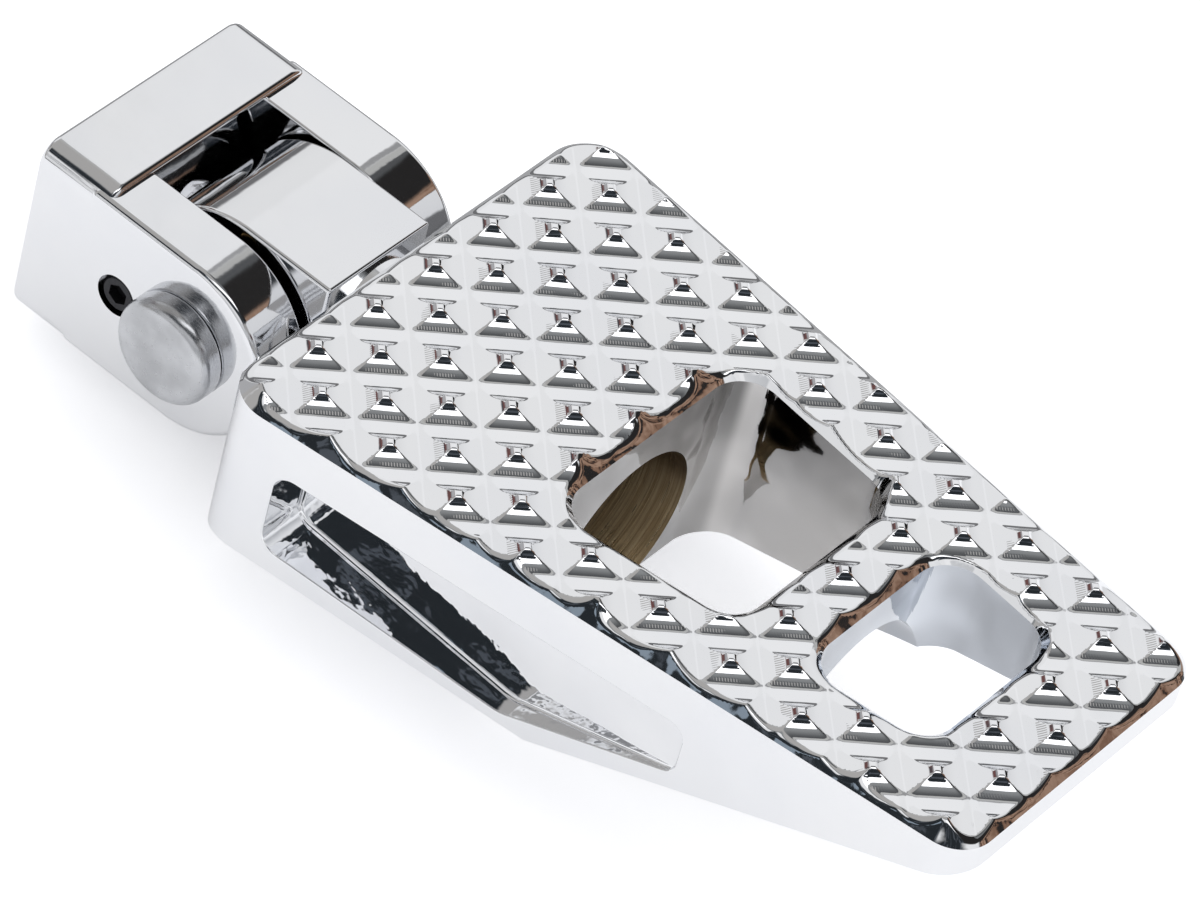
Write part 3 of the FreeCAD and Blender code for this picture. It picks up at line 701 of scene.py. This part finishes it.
def ball(name, centre, r):
    import bmesh
    bm = bmesh.new()
    bmesh.ops.create_icosphere(bm, subdivisions=4, radius=r, matrix=Matrix.Translation(centre))
    me2 = bpy.data.meshes.new(name)
    bm.to_mesh(me2)
    bm.free()
    ob = bpy.data.objects.new(name, me2)
    scene.collection.objects.link(ob)
    return ob


def cutter(name, axis, centre, r, lo, hi, flare_at=None, flare=0.35):
    """Drill: a plain cylinder, with a countersink where it leaves the part."""
    n = 112
    ring = lambda rr, t: [{"x": (t, centre[0] + rr * math.cos(2 * math.pi * k / n), centre[1] + rr * math.sin(2 * math.pi * k / n)),
                           "y": (centre[0] + rr * math.cos(2 * math.pi * k / n), t, centre[1] + rr * math.sin(2 * math.pi * k / n))}[axis]
                          for k in range(n)]
    rings = [ring(r, lo)]
    for t in (flare_at or []):
        out_dir = 1 if t > 0.5 * (lo + hi) else -1
        if out_dir < 0:
            rings = [ring(r + flare + 0.5, lo), ring(r + flare + 0.5, t - 0.5), ring(r + flare, t), ring(r, t + flare)]
        else:
            rings += [ring(r, t - flare), ring(r + flare, t), ring(r + flare + 0.5, t + 0.5), ring(r + flare + 0.5, hi)]
    if len(rings) == 1 or rings[-1][0] == rings[0][0] or not any(t > 0.5 * (lo + hi) for t in (flare_at or [])):
        rings.append(ring(r, hi))
    return loft(name, rings)


def finished(ob, node, rides, mat):
    """Scale to metres, set shading, and let it stand for its CAD node."""
    import bmesh
    ob.name = ob.data.name = node + "_finished"
    ob.data.transform(Matrix.Scale(0.001, 4))
    bm = bmesh.new()
    bm.from_mesh(ob.data)
    bmesh.ops.remove_doubles(bm, verts=bm.verts, dist=1e-7)
    bmesh.ops.dissolve_degenerate(bm, edges=bm.edges, dist=1e-7)
    for f in bm.faces:
        f.smooth = True
    for e in bm.edges:
        e.smooth = len(e.link_faces) == 2 and e.calc_face_angle(0.0) < math.radians(30)
    bm.to_mesh(ob.data)
    bm.free()
    wn = ob.modifiers.new("weighted", "WEIGHTED_NORMAL")
    wn.keep_sharp, wn.weight = True, 100
    ob.data.materials.clear()
    ob.data.materials.append(mat)
    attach(ob, rides)
    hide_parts(node)
    return ob


PX = 24.5                                       # pivot axis, mm


def clevis_mesh():
    box_yz = [(-17.8, -13.4), (17.8, -13.4), (17.8, 13.4), (-17.8, 13.4)]
    c = rounded_prism("clevis_v", box_yz, [3.0] * 4, "x", 0.0, 11.05, 0.8, 0.7, seg=14)
    ear_xz = [(8.05, -12.5), (PX + 12.5, -12.5), (PX + 12.5, 12.5), (8.05, 12.5)]
    for side in (-1, 1):
        lo_y, hi_y = sorted((side * 9.8, side * 17.8))
        r_out, r_in = 0.9, 0.35
        r_a, r_b = (r_out, r_in) if side < 0 else (r_in, r_out)
        ear = rounded_prism("ear", ear_xz, [1.0, 12.499, 12.499, 1.0], "y", lo_y, hi_y, r_a, r_b, seg=48)
        c = boolean(c, ear, "UNION")
    c = boolean(c, cutter("h", "y", (PX, 0.0), 4.80, -40, 40), "DIFFERENCE")
    c = boolean(c, cutter("h", "x", (0.0, 0.0), 4.25, -3, 14, flare_at=[0.0], flare=0.5), "DIFFERENCE")
    c = boolean(c, cutter("h", "x", (0.0, -9.3), 2.51, -3, 6.0), "DIFFERENCE")
    c = boolean(c, cutter("h", "y", (14.7, 0.0), 2.05, -15.5, -8.8), "DIFFERENCE")
    c = boolean(c, cutter("h", "y", (14.7, 0.0), 2.5, -30, -15.0, flare_at=[-17.8], flare=0.3), "DIFFERENCE")
    return c


def mount_mesh():
    xz = [(PX - 13.4, -12.5), (37.7, -12.5), (37.7, 13.4), (PX - 13.4, 13.4)]
    m = rounded_prism("mount_v", xz, [1.2, 0.4, 0.4, 13.38], "y", -9.0, 9.0, 0.5, 0.5, seg=40)
    m = boolean(m, round_bar("flange", "x", (0.0, 0.0), 12.5, 36.9, 40.95, 0.3, 0.5), "UNION")
    m = boolean(m, round_bar("spigot", "x", (0.0, 0.0), 8.0, 39.5, 48.9, 0.3, 0.5), "UNION")
    m = boolean(m, cutter("h", "y", (PX, 0.0), 6.51, -30, 30), "DIFFERENCE")
    m = boolean(m, cutter("h", "x", (0.0, 0.0), 5.05, 36.0, 52.0), "DIFFERENCE")
    m = boolean(m, cutter("h", "x", (0.0, 10.2), 1.51, 38.0, 42.0), "DIFFERENCE")
    for x, z in ((14.7, 0.0), (PX, 9.8)):
        m = boolean(m, ball("dimple", (x, -10.53, z), 2.15), "DIFFERENCE")
    return m


finished(clevis_mesh(), "clevis", "clevis", CHROME_PLAIN)
finished(mount_mesh(), "male_mount", "mount", CHROME_PLAIN)
pin = soften("pivot_pin", "pin", 0.35)
pin.data.materials.clear()
pin.data.materials.append(ZINC)

NODE_MATERIALS = {
    "male_mount": CHROME_PLAIN, "clevis": CHROME_PLAIN,
    "pivot_bush": BRONZE, "thrust_washer": BRONZE,
    "index_pin": ZINC, "wave_washer": ZINC, "bolt_flat_washer": ZINC, "clevis_dowel": ZINC,
    "pivot_pin": ZINC, "detent_ball": ZINC, "detent_spring": ZINC,
    "bolt_lock_washer": BLACK, "mount_bolt": BLACK, "retaining_clip": BLACK, "detent_screw": BLACK,
}
for name, mat in NODE_MATERIALS.items():
    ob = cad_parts[name]
    if not ob.data.materials:
        ob.data.materials.append(mat)
    for i in range(len(ob.material_slots)):
        ob.material_slots[i].material = mat


# ------------------------------------------------------------------ floor
FLOOR_LEVEL = -0.0176


def floor_plane():
    r = 3.0
    n = 48
    verts = [(0.06 + r * math.cos(2 * math.pi * k / n), r * math.sin(2 * math.pi * k / n), FLOOR_LEVEL) for k in range(n)]
    ob = make_mesh("floor", verts, [list(range(n))])
    m, t = new_material("floor_pale")
    g = G(t)
    co = g.n("ShaderNodeTexCoord").outputs["Object"]
    grain = g.n("ShaderNodeTexNoise", inputs={"Vector": co, "Scale": 40.0, "Detail": 3.0}).outputs["Fac"]
    tone = g.mix(grain, (0.93, 0.93, 0.935, 1), (0.90, 0.90, 0.905, 1))
    path = g.n("ShaderNodeLightPath")
    away = g.n("ShaderNodeVectorMath", operation="SUBTRACT", inputs={0: co, 1: (0.09, 0.0, FLOOR_LEVEL)}).outputs["Vector"]
    far = g.n("ShaderNodeVectorMath", operation="LENGTH", inputs={0: away}).outputs["Value"]
    away = g.n("ShaderNodeVectorMath", operation="NORMALIZE", inputs={0: away}).outputs["Vector"]
    # painted shadow: a grey patch on the floor behind the peg, seen only by glossy rays, so it shows in reflections
    reflected_painted_shadow = g.math("MULTIPLY", g.ramp(g.dot(away, (S2, -S2, 0)), -0.76, -0.86, 0.0, 1.0), g.ramp(far, 0.02, 0.05))
    tone = g.mix(g.math("MULTIPLY", reflected_painted_shadow, path.outputs["Is Glossy Ray"]), tone, (0.30, 0.30, 0.30, 1))
    b = g.n("ShaderNodeBsdfDiffuse", inputs={"Color": tone})
    seen = g.math("MULTIPLY_ADD", path.outputs["Is Glossy Ray"], 0.14, path.outputs["Is Camera Ray"])
    e = g.n("ShaderNodeEmission", inputs={"Color": (0.97, 0.975, 1.0, 1), "Strength": g.math("MULTIPLY_ADD", seen, 0.34, 0.04)})
    add = g.n("ShaderNodeAddShader")
    g.link(b.outputs[0], add.inputs[0])
    g.link(e.outputs[0], add.inputs[1])
    # seen from below the floor is open, so the underside can be looked at
    under = g.n("ShaderNodeMixShader")
    g.link(g.n("ShaderNodeNewGeometry").outputs["Backfacing"], under.inputs[0])
    g.link(add.outputs[0], under.inputs[1])
    g.link(g.n("ShaderNodeBsdfTransparent").outputs[0], under.inputs[2])
    out = g.n("ShaderNodeOutputMaterial")
    g.link(under.outputs[0], out.inputs[0])
    ob.data.materials.append(m)
    return ob


floor_plane()

# ------------------------------------------------------------------ studio surround
world = bpy.data.worlds.new("studio")
scene.world = world
world.use_nodes = True
world.node_tree.nodes.clear()
g = G(world.node_tree)
d = g.n("ShaderNodeTexCoord").outputs["Generated"]
t_ = g.dot(d, (S2, -S2, 0))          # towards the near right
s_ = g.dot(d, (S2, S2, 0))           # towards the far right
z_ = g.dot(d, (0, 0, 1))
warp = g.n("ShaderNodeTexNoise", inputs={"Vector": d, "Scale": 7.0, "Detail": 2.0}).outputs["Fac"]
warp = g.math("SUBTRACT", warp, 0.5)
spots = g.n("ShaderNodeTexNoise", inputs={"Vector": d, "Scale": 13.0, "Detail": 3.0}).outputs["Fac"]
tw = g.math("MULTIPLY_ADD", warp, 0.10, t_)
sw = g.math("MULTIPLY_ADD", warp, 0.08, s_)


def band(v, lo, hi, soft=0.03):
    return g.math("MULTIPLY", g.ramp(v, lo - soft, lo + soft), g.ramp(v, hi - soft, hi + soft, 1.0, 0.0))


def over(col, fac, tone):
    return g.mix(fac, col, (*tone, 1.0) if isinstance(tone, tuple) and len(tone) == 3 else tone)


# all round: a pale wall over a dark skirting line
# far left ceiling: one white strip between two pale grey walls
col = g.mix(g.ramp(z_, -0.1, 0.5), (0.74, 0.745, 0.755, 1), (0.835, 0.838, 0.845, 1))
col = over(col, band(sw, 0.135, 0.295, 0.04), (0.885, 0.888, 0.897))
west = g.ramp(g.dot(d, (1, 0, 0)), -0.16, -0.02, 1.0, 0.0)
col = over(col, g.math("MULTIPLY", west, band(z_, 0.0, 0.055, 0.012)), (0.10, 0.10, 0.105))
# horizon behind: a dark line with grey over it
behind = g.ramp(t_, -0.84, -0.90)
col = over(col, g.math("MULTIPLY", behind, band(z_, 0.02, 0.24, 0.03)), (0.17, 0.17, 0.175))
# thin dark joint, then the grey overhead gap, lighter towards the box
col = over(col, g.math("MULTIPLY", band(tw, -0.598, -0.563, 0.012), 0.75), (0.14, 0.14, 0.145))
col = over(col, band(tw, -0.563, -0.47, 0.012), (0.47, 0.47, 0.46))
grey = g.mix(g.ramp(tw, -0.46, 0.10), (0.085, 0.088, 0.092, 1), (0.26, 0.268, 0.272, 1))
col = over(col, band(tw, -0.475, 0.144, 0.010), grey)
soft = g.math("MULTIPLY", band(tw, -0.50, 0.06, 0.03), g.ramp(sw, 0.13, 0.07))
col = over(col, soft, (0.42, 0.41, 0.40))
# the bright box
box = g.math("MULTIPLY", band(tw, 0.144, 0.43, 0.015), g.ramp(s_, -0.30, -0.20))
col = over(col, box, (1.75, 1.75, 1.78))
# the dark room on this side, with a few dim blue-grey things in it
room = g.mix(g.ramp(spots, 0.50, 0.62), (0.020, 0.024, 0.028, 1), (0.075, 0.085, 0.10, 1))
dark = g.ramp(tw, 0.415, 0.445)
front = g.math("MULTIPLY", g.ramp(sw, -0.42, -0.47), g.ramp(t_, 0.02, 0.10))
dark = g.math("MAXIMUM", dark, front)
dark = g.math("MULTIPLY", dark, g.ramp(z_, 0.49, 0.55))
col = over(col, dark, room)
from_pane = g.n("ShaderNodeVectorMath", operation="DISTANCE", inputs={0: d, 1: (-0.175, -0.71, 0.683)}).outputs["Value"]
pane = g.ramp(g.math("MULTIPLY_ADD", warp, 0.10, from_pane), 0.034, 0.046, 1.0, 0.0)
col = over(col, g.math("MULTIPLY", pane, g.ramp(t_, 0.30, 0.32)), (0.24, 0.29, 0.345))
# to the far right: dark, then warm brown furniture broken by black
side = g.math("MULTIPLY", g.math("MULTIPLY", g.ramp(sw, 0.44, 0.50), g.ramp(t_, -0.50, -0.42)), g.ramp(z_, 0.02, 0.10))
col = over(col, side, (0.02, 0.019, 0.019))
wood = g.mix(g.ramp(spots, 0.40, 0.62), (0.17, 0.092, 0.06, 1), (0.36, 0.235, 0.17, 1))
brown = g.math("MULTIPLY", g.ramp(sw, 0.78, 0.81), band(z_, 0.10, 0.56, 0.03))
brown = g.math("MULTIPLY", brown, g.ramp(spots, 0.40, 0.45))
col = over(col, brown, wood)
# two pale panels low in the dark half, seen from the other sides of the object
sep = g.n("ShaderNodeSeparateXYZ", inputs={"Vector": d}).outputs
low = g.ramp(z_, 0.60, 0.66, 1.0, 0.0)
panel_a = g.math("MULTIPLY", g.math("MULTIPLY", g.ramp(sep[0], -0.03, 0.07), g.ramp(sep[1], -0.52, -0.60)), low)
panel_b = g.math("MULTIPLY", g.math("MULTIPLY", g.ramp(sep[0], 0.58, 0.66), band(sep[1], -0.24, 0.26, 0.04)), low)
panels = g.math("MULTIPLY", g.math("MAXIMUM", panel_a, panel_b), g.ramp(z_, 0.05, 0.12))
col = over(col, panels, g.mix(g.ramp(z_, 0.10, 0.62), (0.52, 0.53, 0.55, 1), (0.86, 0.865, 0.875, 1)))
# left, near side: bright and dark slats, they streak the pocket's tail
slats = g.math("SINE", g.math("MULTIPLY_ADD", warp, 7.0, g.math("MULTIPLY", z_, 95.0)))
slats = g.mix(g.ramp(slats, -0.35, 0.45), (0.27, 0.272, 0.28, 1), (0.90, 0.905, 0.92, 1))
col = over(col, g.math("MULTIPLY", g.ramp(s_, -0.84, -0.89), band(z_, 0.22, 0.42, 0.03)), slats)
# low on the left: something red and dark
left = g.math("MULTIPLY", g.math("MULTIPLY", g.ramp(s_, -0.50, -0.55), g.ramp(t_, -0.42, -0.50)), band(z_, 0.04, 0.49, 0.02))
reds = g.mix(g.ramp(spots, 0.47, 0.56), (0.075, 0.070, 0.078, 1), (0.155, 0.072, 0.068, 1))
reds = g.mix(g.ramp(z_, 0.36, 0.42), (0.42, 0.42, 0.43, 1), reds)
col = over(col, left, reds)
lp = g.n("ShaderNodeLightPath")
plain = g.mix(lp.outputs["Is Glossy Ray"], (0.93, 0.935, 0.95, 1), col)
bg = g.n("ShaderNodeBackground", inputs={"Color": plain, "Strength": 1.0})
out = g.n("ShaderNodeOutputWorld")
g.link(bg.outputs[0], out.inputs[0])


def area(name, loc, target, size, energy, colour=(1, 1, 1)):
    li = bpy.data.lights.new(name, "AREA")
    li.shape = "RECTANGLE"
    li.size, li.size_y = size
    li.energy, li.color = energy, colour
    ob = bpy.data.objects.new(name, li)
    ob.location = loc
    ob.rotation_mode = "QUATERNION"
    ob.rotation_quaternion = (Vector(target) - Vector(loc)).to_track_quat("-Z", "Y")
    ob.visible_glossy = False
    scene.collection.objects.link(ob)
    return ob


area("key_soft", (0.30, 0.25, 0.75), (0.08, 0, 0), (0.6, 0.6), 0.9)

# ------------------------------------------------------------------ camera
cam_data = bpy.data.cameras.new("camera")
cam = bpy.data.objects.new("camera", cam_data)
scene.collection.objects.link(cam)
scene.camera = cam
cam_data.sensor_width = 36.0
cam_data.lens = 294.0 * 0.816
cam_data.clip_start, cam_data.clip_end = 0.01, 20.0
loc = Vector((0.38552, -0.56925, 0.65739))
right = Vector((0.7545, 0.6249, 0.2007))
up = Vector((-0.5683, 0.4690, 0.6761))
back = Vector((0.3284, -0.6241, 0.7090))
# the same eye point and roll, turned a little so that the whole assembly is in the frame
AIM_X, AIM_Y = -111.0, -73.0           # pixels of a 1200 wide frame at 294 mm
aim = -back + right * (AIM_X / 9800.0) - up * (AIM_Y / 9800.0)
aim.normalize()
right = (right - aim * right.dot(aim)).normalized()
up = right.cross(aim)
cam.matrix_world = Matrix(((right.x, up.x, -aim.x, loc.x), (right.y, up.y, -aim.y, loc.y),
                           (right.z, up.z, -aim.z, loc.z), (0, 0, 0, 1)))

scene.view_settings.view_transform = "Standard"
scene.view_settings.look = "None"
